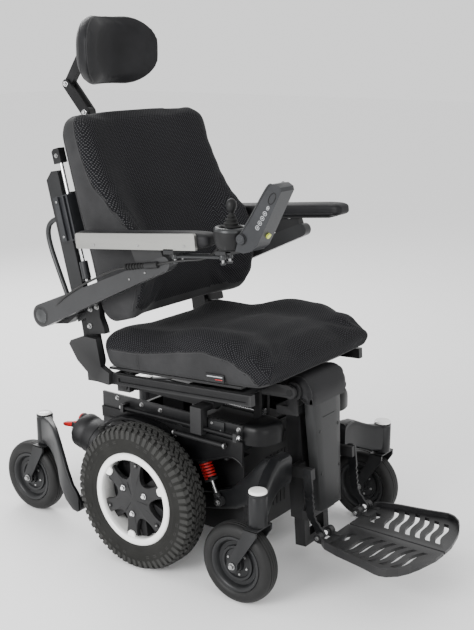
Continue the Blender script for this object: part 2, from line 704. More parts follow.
# ---------------------------------------------------------------- castors
def castor(e, s, sg, stem, trail):
    c = (stem[0], stem[1] + trail, 96)
    w = Piece("castor_wheel_%s_%s" % (e, s), side=sg)
    half = [(66, -19), (68, -21.5), (72, -23.4), (78, -24), (84, -23.2), (89, -20.6), (92.5, -16.4),
            (94.2, -12.8),
            (94.3, -11.6), (93.2, -11), (93.2, -10), (94.9, -9.4), (95.6, -6.4), (95.7, -4.6),
            (94.6, -4.0),
            (94.6, -3.2), (95.9, -2.6), (96.0, 0)]
    w.lathe(half + [(r, -x) for r, x in reversed(half[:-1])], "castor", c, seg=96)
    for q in (-1, 1):
        # stepped rim face
        w.lathe([(0, q * 13), (13, q * 13), (14, q * 21), (18, q * 21), (19.5, q * 12), (34, q * 9),
                 (36, q * 12),
                 (41, q * 12.5), (43, q * 8.5), (52, q * 9.5), (55, q * 15), (58, q * 20),
                 (62, q * 21.6),
                 (65, q * 21.2), (66.4, q * 18.8), (66.4, q * 2), (0, q * 2)], "fork", c, seg=72)
        for k in range(6):
            a = TAU * k / 6 + 0.3
            w.rod((c[0] + q * 9, c[1] + 27 * math.cos(a), c[2] + 27 * math.sin(a)),
                  (c[0] + q * 12.6, c[1] + 27 * math.cos(a), c[2] + 27 * math.sin(a)), 3.1, "steel",
                  seg=12)
    w.rod((c[0] - 32, c[1], c[2]), (c[0] + 32, c[1], c[2]), 5.8, "steel")
    w.done("castor_roll_%s_%s" % (e, s), replaces=("castor_wheel_%s_%s" % (e, s),), merge=False)
    f = Piece("castor_fork_%s_%s" % (e, s), side=sg)
    # folded fork: a short crown over the wheel and two flat legs with a bent upper facet
    for q in (-1, 1):
        x0, x1 = c[0] + q * 26.2, c[0] + q * 31.8
        front, back = stem[1] - 17, stem[1] + trail
        leg = [(front, 196.2), (front, 182), (back - 15, 104), (back - 14.6, 92), (back - 9, 83.5),
               (back, 80.6),
               (back + 9, 83.5), (back + 14.6, 92), (back + 15, 100), (stem[1] + 22, 176),
               (stem[1] + 19, 188),
               (stem[1] + 17, 196.2)]
        f.prism(leg, "fork", min(x0, x1), max(x0, x1))
        f.bolt((x1, back, 96), (q, 0, 0), 6.4, 6.5, "steel")
        f.rod((x1 - q * 0.5, back, 96), (x1 + q * 1.6, back, 96), 10, "fork")
    f.prism([(c[0] - 31.8, stem[1] - 17), (c[0] + 31.8, stem[1] - 17), (c[0] + 31.8, stem[1] + 17),
             (c[0] - 31.8, stem[1] + 17)], "fork", 193.4, 196.6, axis="Z")
    f.rod((stem[0], stem[1], 194), (stem[0], stem[1], 262), 9.9, "steel")
    f.done("castor_%s_%s" % (e, s), bevel=0.9, replaces=("castor_fork_%s_%s" % (e, s),),
           merge=False)


for s, sg in SIDES:
    castor("front", s, sg, (279, -345), 48)
    castor("rear", s, sg, (203, 405), 43)


# ---------------------------------------------------------------- soft goods
def rounded_box(lo, hi, r, n):
    """A closed grid on a box whose edges are rounded by radii r, with n cells along each axis."""
    index, verts, faces = {}, [], []

    def vert(i, j, k):
        if (i, j, k) not in index:
            p = [lo[a] + (hi[a] - lo[a]) * q / n[a] for a, q in enumerate((i, j, k))]
            core = [min(max(p[a], lo[a] + r[a]), hi[a] - r[a]) for a in range(3)]
            d = Vector([(p[a] - core[a]) / r[a] for a in range(3)])
            if d.length > 1e-9:
                d *= max(abs(c) for c in d) / d.length
            index[(i, j, k)] = len(verts)
            verts.append(Vector([core[a] + d[a] * r[a] for a in range(3)]))
        return index[(i, j, k)]

    nx, ny, nz = n
    for i in range(nx):
        for j in range(ny):
            faces.append((vert(i, j, 0), vert(i, j + 1, 0), vert(i + 1, j + 1, 0),
                          vert(i + 1, j, 0)))
            faces.append((vert(i, j, nz), vert(i + 1, j, nz), vert(i + 1, j + 1, nz),
                          vert(i, j + 1, nz)))
    for i in range(nx):
        for k in range(nz):
            faces.append((vert(i, 0, k), vert(i + 1, 0, k), vert(i + 1, 0, k + 1),
                          vert(i, 0, k + 1)))
            faces.append((vert(i, ny, k), vert(i, ny, k + 1), vert(i + 1, ny, k + 1),
                          vert(i + 1, ny, k)))
    for j in range(ny):
        for k in range(nz):
            faces.append((vert(0, j, k), vert(0, j, k + 1), vert(0, j + 1, k + 1),
                          vert(0, j + 1, k)))
            faces.append((vert(nx, j, k), vert(nx, j + 1, k), vert(nx, j + 1, k + 1),
                          vert(nx, j, k + 1)))
    return verts, faces


def step(a, b, x):
    t = min(1.0, max(0.0, (x - a) / (b - a)))
    return t * t * (3 - 2 * t)


def along(table, x):
    if x <= table[0][0]:
        return table[0][1]
    for (a, p), (b, q) in zip(table, table[1:]):
        if x <= b:
            t = (x - a) / (b - a)
            return p + (q - p) * (t * t * (3 - 2 * t))
    return table[-1][1]


def soft(name, at, verts, faces, pin, cap, voxel=5.0, pressure=4.0):
    """A stuffed form: remeshed, blown up as cloth with its seams pinned, and smoothed."""
    me = bpy.data.meshes.new(name)
    me.from_pydata([at @ v for v in verts], [], faces)
    ob = linked(name, me)
    inv = at.inverted()
    bpy.context.view_layer.objects.active = ob
    rem = ob.modifiers.new("remesh", "REMESH")
    rem.mode = "VOXEL"
    rem.voxel_size = voxel / 1000
    bpy.ops.object.modifier_apply(modifier=rem.name)
    me = ob.data
    base = [v.co.copy() for v in me.vertices]
    group = ob.vertex_groups.new(name="held")
    held = []
    for v in me.vertices:
        w = pin(inv @ v.co)
        held.append(w)
        if w > 0:
            group.add([v.index], w, "REPLACE")
    cloth = ob.modifiers.new("cloth", "CLOTH")
    cloth.settings.quality = 5
    cloth.settings.mass = 0.3
    cloth.settings.tension_stiffness = cloth.settings.compression_stiffness = 18
    cloth.settings.shear_stiffness = 8
    cloth.settings.bending_stiffness = 0.6
    cloth.settings.use_pressure = True
    cloth.settings.uniform_pressure_force = pressure
    cloth.settings.vertex_group_mass = "held"
    cloth.settings.effector_weights.gravity = 0
    cloth.collision_settings.use_collision = False
    scene = bpy.context.scene
    for f in range(1, 21):
        scene.frame_set(f)
    deps = bpy.context.evaluated_depsgraph_get()
    blown = [v.co.copy() for v in ob.evaluated_get(deps).data.vertices]
    ob.modifiers.remove(cloth)
    scene.frame_set(1)
    for v, a, b, w in zip(me.vertices, base, blown, held):
        d = (b - a) * (1 - w)
        if d.length > cap / 1000:
            d *= cap / 1000 / d.length
        v.co = a + d
    bm = bmesh.new()
    bm.from_mesh(me)
    for _ in range(3):
        bmesh.ops.smooth_vert(bm, verts=bm.verts, factor=0.5, use_axis_x=True, use_axis_y=True,
                              use_axis_z=True)
    bm.to_mesh(me)
    bm.free()
    ob.vertex_groups.clear()
    return ob


def dress(ob, at, mats, choose):
    """Gives each face its fabric by where it lies, in the local frame."""
    me = ob.data
    me.materials.clear()
    for m in mats:
        me.materials.append(MAT[m])
    inv = at.inverted()
    turn = inv.to_3x3().normalized()
    for p in me.polygons:
        p.material_index = choose(inv @ p.center, turn @ p.normal)
        p.use_smooth = True
    s = ob.modifiers.new("smooth", "SUBSURF")
    s.levels = s.render_levels = 1


def surface(ob):
    deps = bpy.context.evaluated_depsgraph_get()
    return BVHTree.FromObject(ob, deps)


def welt(name, tree, at, points, r, body, closed=False, stitches=True, step_n=10,
         gap=7.0):
    """A sewn seam laid on a soft surface: a rolled cord, with a row of stitches beside it."""
    inv = at.inverted()
    pts = []
    for p in catmull(points, closed, step_n):
        hit, nrm, _, _ = tree.find_nearest(at @ p)
        pts.append((inv @ hit, (inv.to_3x3() @ nrm).normalized()))
    piece = Piece(name, at=at)
    piece.tube([p - n * r * WELT_SINK for p, n in pts], r, "thread", seg=8, closed=closed, raw=True)
    if stitches:
        total = 0.0
        for (p, n), (q, _) in zip(pts, pts[1:]):
            d = (q - p)
            side_v = d.cross(n)
            if side_v.length < 1e-6:
                continue
            side_v.normalize()
            total += d.length
            if total >= gap:
                total = 0.0
                c = p + side_v * (r + 2.2) + n * 0.25
                u = d.normalized()
                piece.rod(c - u * 1.9, c + u * 1.9, 0.55, "thread", seg=6, chamfer=0.2)
    piece.done(body, merge=False)


SEAT_EDGE = [(-344, 56), (-334, 70), (-311, 84), (-291, 93), (-238, 103), (-161, 111), (-99, 104),
             (-38, 95),
             (33, 87), (153, 95)]
SEAT_SEAM = [(-338, 30), (-318, 31), (-311, 34), (-291, 62), (-238, 90), (-161, 102), (-99, 95),
             (-38, 86),
             (33, 78), (153, 78)]
SEAT_RIDGE = [(-346, 70), (-336, 84), (-278, 117), (-205, 135), (-131, 139), (8, 117), (148, 118)]
SEAT_MIDDLE = [(-346, 68), (-330, 86), (-290, 108), (-230, 122), (-140, 124), (-50, 112), (60, 105),
               (148, 112)]


def seat_top(x, y):
    """Height of the cushion's top over its width and depth, in the seat's frame."""
    a = abs(x)
    z = along(SEAT_MIDDLE, y)
    z += (along(SEAT_RIDGE, y) - z) * step(70, 190, a)
    t = max(0.0, (a - 196) / 42)
    z += (along(SEAT_EDGE, y) - z) * min(1.0, t) ** 2.2
    return z - 7 * math.exp(-((a - 105) / 46) ** 2) * step(70, -150, y)


def make_seat():
    v, f = rounded_box((-238, -344, 30), (238, 153, 108), (16, 26, 18), (72, 74, 14))
    out = []
    for p in v:
        q = p.copy()
        t = (p.z - 30) / 78
        q.z = 30 + t * (seat_top(p.x, p.y) - 30)
        # the front edge rolls down and back under itself
        q.y += step(-240, -344, p.y) * (1 - t) ** 2.0 * 26
        q.y -= step(90, 153, p.y) * (1 - t) ** 2 * 16
        q.x *= 1 - 0.022 * (1 - t) ** 2 - 0.035 * step(-280, -344, p.y)
        # the side walls pull in a little between their seams
        q.x *= 1 - 0.010 * math.sin(math.pi * min(1, max(0, t))) * step(0.9, 1.0, abs(p.x) / 238)
        out.append(q)

    def pin(p):
        if p.z < 36:
            return 1.0
        # the side seam is held, so the top and the side panel swell apart from each other
        return 0.85 if abs(p.z - along(SEAT_SEAM, p.y)) < 5 and abs(p.x) > 218 else 0.0
    ob = soft("seat_cushion_cover", SEAT, out, f, pin, 7.0, voxel=6.0, pressure=3.0)

    def seam_z(y):
        return along(SEAT_SEAM, y)

    def choose(p, n):
        if n.z < -0.6 and p.z < 45:
            return 1
        if abs(p.x) > 205 and abs(n.x) > 0.32 and p.z < seam_z(p.y) and p.y > -316:
            return 1
        if p.y > 100 and n.y > 0.5 and p.z < 70:
            return 1
        return 0
    dress(ob, SEAT, ["mesh", "cloth"], choose)
    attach(ob, "seat")
    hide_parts("seat_cushion")
    tree = surface(ob)
    for sg, s in ((-1, "right"), (1, "left")):
        line = [(sg * 240, y, seam_z(y)) for y in (-314, -305, -291, -270, -238, -200, -161, -130,
                                                   -99, -38, 0, 33, 80, 120)]
        welt("seat_seam_" + s, tree, SEAT, line, 1.9, "seat")
        welt("seat_seam_drop_" + s, tree, SEAT, [(sg * 240, 34, 79), (sg * 240, 35, 60),
                                                 (sg * 240, 36, 38)], 1.6,
             "seat", gap=5.0)
    welt("seat_seam_rear", tree, SEAT, [(x, 162, 72) for x in range(-220, 221, 20)], 1.4, "seat",
         stitches=False)
    tag = Piece("seat_tag", at=SEAT)
    tag.box(-239.5, -236.2, -225, -172, 38, 57, "plastic")
    tag.box(-240.1, -239.1, -221, -177, 50, 52.6, "mark")
    tag.box(-240.1, -239.1, -221, -200, 44, 45.6, "red")
    tag.done("seat", bevel=0.5)


# Depth of the cushion's corner ridge, of its middle and of the side panel's edge, up the back
BACK_RIDGE = [(-5, 106), (14, 114), (50, 134), (86, 150), (120, 159), (156, 162), (204, 153),
              (233, 132), (260, 114),
              (284, 103), (323, 90), (372, 80), (409, 73), (481, 70), (500, 62)]
BACK_MIDDLE = [(-5, 66), (60, 82), (150, 86), (260, 72), (380, 60), (470, 54), (500, 46)]
BACK_PANEL = [(-5, 104), (14, 112), (88, 144), (156, 152), (201, 146), (225, 128), (282, 95),
              (328, 66), (372, 55),
              (422, 48), (462, 46), (500, 40)]


def back_depth(x, z):
    mid = along(BACK_MIDDLE, z)
    return mid + (along(BACK_RIDGE, z) - mid) * step(96, 214, abs(x)) ** 1.15


def make_back():
    v, f = rounded_box((-238, -60, -6), (238, 6, 502), (24, 16, 46), (66, 14, 70))
    out = []
    for p in v:
        q = p.copy()
        t = (6 - p.y) / 66
        q.y = 6 - t * (back_depth(p.x, p.z) + 6)
        # the top leans back a little and the lower corners are fuller
        q.x *= 1 + 0.012 * step(120, 300, p.z) - 0.02 * step(40, -6, p.z)
        q.x *= 1 - 0.010 * math.sin(math.pi * min(1, max(0, t))) * step(0.92, 1.0, abs(p.x) / 238)
        q.z += (7 * step(225, 60, abs(p.x)) * step(420, 500, p.z)
                - 16 * step(170, 238, abs(p.x)) ** 2 * step(400, 500, p.z))
        out.append(q)

    def pin(p):
        if p.y > 0:
            return 1.0
        near = abs(-p.y - along(BACK_PANEL, p.z)) < 5 and abs(p.x) > 222
        return 0.8 if near else 0.0
    ob = soft("back_cushion_cover", BACK, out, f, pin, 6.0, voxel=6.0, pressure=3.0)

    def choose(p, n):
        if p.y > 0 and n.y > 0.3:
            return 1
        if abs(n.x) > 0.4 and abs(p.x) > 205 and -p.y < along(BACK_PANEL, p.z):
            return 1
        if n.z < -0.5 and p.z < 20:
            return 1
        return 2 if abs(p.x) > 212 else 0
    dress(ob, BACK, ["mesh", "cloth", "mesh_wide"], choose)
    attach(ob, "back")
    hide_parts("back_cushion")
    tree = surface(ob)
    for sg, s in ((-1, "right"), (1, "left")):
        line = [(sg * 242, -along(BACK_PANEL, z), z)
                for z in (2, 24, 50, 90, 130, 170, 204, 233, 260, 284, 323, 372, 409, 440, 470,
                          490)]
        welt("back_seam_" + s, tree, BACK, line, 1.9, "back")
        # zip along the back edge of the side panel
        line = [(sg * 242, -3, z) for z in range(40, 461, 30)]
        welt("back_zip_" + s, tree, BACK, line, 1.6, "back", gap=3.6)
    welt("back_seam_top", tree, BACK, [(x, -10, 508) for x in range(-180, 181, 20)], 1.4, "back",
         stitches=False)


def make_headrest():
    """A pad curved round the head, with a boxed edge, its welts and a bracket plate behind."""
    cx, cy, cz = 0, 300, 1215
    w, h = 132, 89
    v, f = rounded_box((-w, -25, -h), (w, 25, h), (84, 20, 74), (52, 12, 38))
    out = []
    for p in v:
        q = p.copy()
        u = p.x / w
        q.y = p.y + 36 - 58 * u * u          # wings come forward
        if p.y > 0:
            q.y += p.y / 25 * 26 * u * u     # and are thicker than the middle
        q.y -= 5 * (p.z / h) ** 2
        q.z *= 1 - 0.04 * (abs(u) ** 2)
        if p.y < 0:
            q.y += 7 * math.exp(-(u / 0.42) ** 2)      # hollow for the head
        q += Vector((cx, cy, cz))
        out.append(q)

    ob = soft("headrest_cover", AXLE, out, f, lambda p: 0.0, 5.0, voxel=4.0, pressure=3.0)
    dress(ob, AXLE, ["skin"], lambda p, n: 0)
    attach(ob, "headrest")
    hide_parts("headrest_pad")
    tree = surface(ob)
    for name, yo, r in (("headrest_welt_front", -16, 1.5), ("headrest_welt_back", 26, 1.4)):
        ring = []
        for k in range(40):
            a = TAU * k / 40
            c, s = math.cos(a), math.sin(a)
            e = 0.78
            x = w * math.copysign(abs(c) ** e, c) * 1.02
            z = h * math.copysign(abs(s) ** e, s) * 1.02
            ring.append((cx + x, cy + 36 - 58 * (x / w) ** 2 + yo, cz + z))
        welt(name, tree, AXLE, ring, r, "headrest", closed=True, stitches=False, step_n=4)
    b = Piece("headrest_bracket")
    b.prism([(347, 1185), (353, 1185), (353, 1238), (347, 1238)], "black", -34, 34)
    for x in (-24, 24):
        for z in (1195, 1228):
            b.bolt((x, 352.5, z), (0, 1, 0), 3.6, 4, "steel", hexagon=False)
    b.prism([(352, 1222), (352, 1200), (414, 1186), (462, 1120), (478, 1116), (483, 1128),
             (478, 1140), (434, 1204),
             (428, 1209)], "black", -7.6, 7.6)
    b.lathe([(6.2, -7.8), (14, -7.8), (14, 7.8), (6.2, 7.8)], "black", (0, 470, 1128), seg=32)
    b.done("headrest", bevel=1.2)
    link = Piece("headrest_link_bars")
    lower, upper = (405, 1057), (470, 1128)
    for q in (-1, 1):
        x0, x1 = sorted((q * 8.6, q * 15.4))
        d = math.atan2(upper[1] - lower[1], upper[0] - lower[0])
        pts = half_round(lower, 12.5, d + math.pi / 2) + half_round(upper, 12.5, d - math.pi / 2)
        link.prism(pts, "black", x0, x1)
        for pivot in (lower, upper):
            link.bolt((q * 15.2, *pivot), (q, 0, 0), 5.4, 5.5, "chrome", hexagon=False)
    for pivot in (lower, upper):
        link.rod((-15, *pivot), (15, *pivot), 5.9, "steel")
    link.done("headrest_arm", bevel=0.8, replaces=("headrest_link",))


def make_arm_pads():
    for s, sg in SIDES:
        right = s == "right"
        outer = 295.8 if right else 305
        v, f = rounded_box((245, -405, 0.2), (outer, 0, 33), (13, 22, 11), (14, 70, 10))
        out = []
        for p in v:
            q = p.copy()
            t = p.z / 33
            # the nose drops and rounds over, the top is gently crowned
            nose = step(-330, -405, p.y)
            q.z -= 3 * nose * nose * t
            q.z += 1.6 * math.sin(math.pi * (p.x - 245) / (outer - 245)) * t
            out.append(Vector((q.x * sg, q.y, q.z)))
        if sg < 0:
            f = [tuple(reversed(k)) for k in f]
        me = bpy.data.meshes.new("arm_pad_cover_" + s)
        me.from_pydata([PAD @ p for p in out], [], f)
        ob = linked("arm_pad_cover_" + s, me)
        dress(ob, PAD, ["skin"], lambda p, n: 0)
        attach(ob, "arm_" + s)
        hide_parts("arm_pad_" + s)
        tree = surface(ob)
        welt("arm_pad_seam_" + s, tree, PAD, [(sg * 244, y, 7) for y in range(-8, -391, -18)], 0.9,
             "arm_" + s,
             stitches=False)
        base = Piece("arm_pad_base_" + s, at=PAD, side=sg)
        base.box(250, 292, -372, -14, -3.4, 0.6, "plastic")
        for y in (-120, -240):
            base.bolt((262, y, -3.2), (0, 0, -1), 4, 3, "steel", hexagon=False)
        base.done("arm_" + s, bevel=1.0)


def make_knee_roll():
    """A fat roll whose front drapes over the top of the legrest cover."""
    v, f = rounded_box((-87, -43, -60), (87, 34, 34.5), (18, 36, 34), (40, 20, 24))
    out = []
    for p in v:
        q = p.copy()
        a = abs(p.x) / 87
        # the back of the roll stays above the cross plate, and the front hangs as a skirt
        floor = -34 if p.y > -8 else -34 - 26 * step(-8, -30, p.y)
        q.z = floor + (p.z + 60) / 94.5 * (34.5 - floor)
        q.z -= 5 * a ** 3 * step(-40, 20, p.z)
        q.y *= 1 - 0.07 * a ** 4
        if p.z < -34:
            q.y = min(q.y, -39)
        elif q.y < 0:
            # the front keeps under the seat as the legrest swings up
            up = math.degrees(math.atan2(q.z, -q.y))
            most = 34.5 / math.sin(math.radians(min(90, max(35, up + 60))))
            over = math.hypot(q.y, q.z) / most
            if over > 1:
                q.y, q.z = q.y / over, q.z / over
        out.append(q)
    ob = soft("knee_roll_cover", LEG, out, f, lambda p: 1.0 if p.z < -30 else 0.0, 2.0, voxel=4.0,
              pressure=2.0)
    dress(ob, LEG, ["skin"], lambda p, n: 0)
    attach(ob, "legrest")
    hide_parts("knee_roll")
    tree = surface(ob)
    for q in (-1, 1):
        ring = []
        for k in range(24):
            a = TAU * k / 24
            ring.append((q * 76, 44 * math.cos(a), -8 + 50 * math.sin(a)))
        welt("knee_roll_welt_%s" % ("left" if q > 0 else "right"), tree, LEG, ring, 1.2, "legrest",
             closed=True,
             stitches=False, step_n=4)


make_seat()
make_back()
make_headrest()
make_arm_pads()
make_knee_roll()


# ---------------------------------------------------------------- suspension arms
def loft(piece, sections, mat, n=20, power=4.0):
    """sections are (centre, u, v): half axes of a rounded rectangle, skinned one after another."""
    verts = []
    for c, u, v in sections:
        c, u, v = Vector(c), Vector(u), Vector(v)
        for k in range(n):
            a = TAU * (k + 0.5) / n
            x, y = math.cos(a), math.sin(a)
            x = math.copysign(abs(x) ** (2 / power), x)
            y = math.copysign(abs(y) ** (2 / power), y)
            verts.append(tuple(c + u * x + v * y))
    faces = bands(len(sections), n)
    faces.append(tuple(reversed(range(n))))
    faces.append(tuple((len(sections) - 1) * n + k for k in range(n)))
    piece.add(verts, faces, mat)


def housing(piece, p, top, mat):
    """A castor's stem housing, open from below for the stem, with a groove under its top."""
    piece.lathe([(0, top - 12), (10.2, top - 12), (10.2, 198), (20.5, 198), (22, 200),
                 (22, top - 10), (21.2, top - 8.6), (21.2, top - 7.4), (22, top - 6),
                 (22, top - 3.4), (20.6, top - 1.6), (17, top - 0.6), (0, top)], mat, (*p, 0),
                axis="Z",
                seg=48, closed=False)


def make_arms():
    for s, sg in SIDES:
        r = Piece("rear_arm_" + s, side=sg)
        loft(r, [((204, 402, 241), (17, 8, 0), (0, 0, 36)),
                 ((216, 378, 241), (12, 6, 0), (0, 0, 37)),
                 ((236, 344, 240), (8, 5, 0), (0, 0, 38)), ((256, 312, 236), (7, 4, 0), (0, 0, 40)),
                 ((270, 286, 214), (6.5, 3, 0), (0, 0, 44)),
                 ((283, 262, 183), (6.5, 2, 0), (0, -4, 46)),
                 ((291, 238, 150), (6.3, 1.4, 0), (0, -3, 42)),
                 ((293, 216, 122), (6.2, 0, 0), (0, 0, 34)),
                 ((293, 200, 112), (6.2, 0, 0), (0, 0, 26)),
                 ((293, 194, 108), (5.2, 0, 0), (0, 0, 18))],
             "arm", n=28, power=5)
        loft(r, [((293, 205, 105), (0, 13, 0), (0, 0, 19)),
                 ((270, 205, 105), (0, 13, 0), (0, 0, 18)),
                 ((200, 205, 105), (0, 14, 0), (0, 0, 18)),
                 ((176, 205, 105), (0, 19, 0), (0, 0, 19)),
                 ((142, 205, 105), (0, 19, 0), (0, 0, 19))], "arm", n=24, power=3)
        housing(r, (203, 405), 280, "arm")
        r.lathe([(0, 285.2), (12, 284.8), (17, 283.6), (19.4, 281.4), (19.6, 279.6), (0, 279.6)],
                "white", (203, 405, 0),
                axis="Z", seg=40, closed=False)
        r.done("rear_suspension_" + s, bevel=0.6, replaces=("rear_arm_" + s,), merge=False)
        f = Piece("front_arm_" + s, side=sg)
        loft(f, [((159, -52, 148), (16, 0, 0), (0, 4, 20)),
                 ((159, -78, 151), (17, 0, 0), (0, 2, 22)),
                 ((159, -140, 165), (17, 0, 0), (0, 0, 23)),
                 ((159, -200, 184), (17, 0, 0), (0, 8, 25)),
                 ((156, -252, 222), (20, 0, 0), (0, 16, 31)),
                 ((149, -292, 262), (27, 0, 0), (0, 14, 38)),
                 ((146, -312, 275), (29, 0, 0), (0, 4, 37)),
                 ((146, -328, 275), (27, 0, 0), (0, 0, 35))], "arm", n=28,
             power=5)
        loft(f, [((122, -311, 275), (0, 17, 0), (0, 0, 37)),
                 ((150, -312, 275), (0, 18, 0), (0, 0, 37)),
                 ((172, -313, 272), (0, 18, 0), (0, 0, 37)),
                 ((206, -320, 257), (0, 17, 0), (0, 0, 36)),
                 ((240, -332, 243), (0, 17, 0), (0, 0, 36)),
                 ((262, -340, 239), (0, 18, 0), (0, 0, 36)),
                 ((279, -345, 238), (0, 18, 0), (0, 0, 36))], "arm", n=28, power=5)
        housing(f, (279, -345), 277, "fork")
        f.lathe([(0, 283.4), (13, 283.2), (18.6, 282.2), (20.8, 280), (21.0, 276.4), (0, 276.4)],
                "white",
                (279, -345, 0), axis="Z", seg=48, closed=False)
        f.rod((175, -166.4, 173.5), (200.5, -166.4, 173.5), 4.9, "steel")
        f.bolt((195, -166.4, 173.5), (1, 0, 0), 6, 5, "steel")
        f.done("front_suspension_" + s, bevel=0.6, replaces=("front_arm_" + s,), merge=False)
        # shock: grey body, red coil and a chrome rod with its eye
        b = Piece("shock_body_" + s, at=SHOCK, side=sg)
        b.lathe([(5.1, -7), (11, -7), (11, 7), (5.1, 7)], "steel", (0, 0, 0), seg=28)
        b.lathe([(0, -12), (5.1, -12), (5.1, -70), (8.2, -70), (9, -69), (9, -26), (13, -25),
                 (16.6, -24), (16.6, -20), (12, -17), (9, -10),
                 (5.2, -8.4), (0, -8.4)], "fork", axis="Z", seg=32, closed=False)
        b.lathe([(9.2, -71), (16, -71), (16.6, -69.4), (16.6, -66.4), (15, -65), (9.2, -65)],
                "fork", axis="Z", seg=32)
        helix = []
        turns = 5.2
        for k in range(int(turns * 22) + 1):
            a = TAU * k / 22
            t = k / (turns * 22)
            helix.append((13.4 * math.cos(a), 13.4 * math.sin(a), -64 + 38.5 * t))
        b.tube(helix, 2.7, "red", seg=10, raw=True)
        b.done("shock_cylinder_" + s, replaces=("shock_body_" + s,), merge=False)
        q = Piece("shock_rod_" + s, at=SHOCK, side=sg)
        q.rod((0, 0, -114), (0, 0, -28), 4.9, "chrome")
        q.lathe([(7, -7), (12, -7), (12, 7), (7, 7)], "fork", (0, 0, -124), seg=28)
        q.lathe([(0, -112), (8, -112), (8.4, -104), (6, -102), (0, -102)], "fork", axis="Z", seg=24,
                closed=False)
        q.done("shock_piston_" + s, replaces=("shock_rod_" + s,), merge=False)


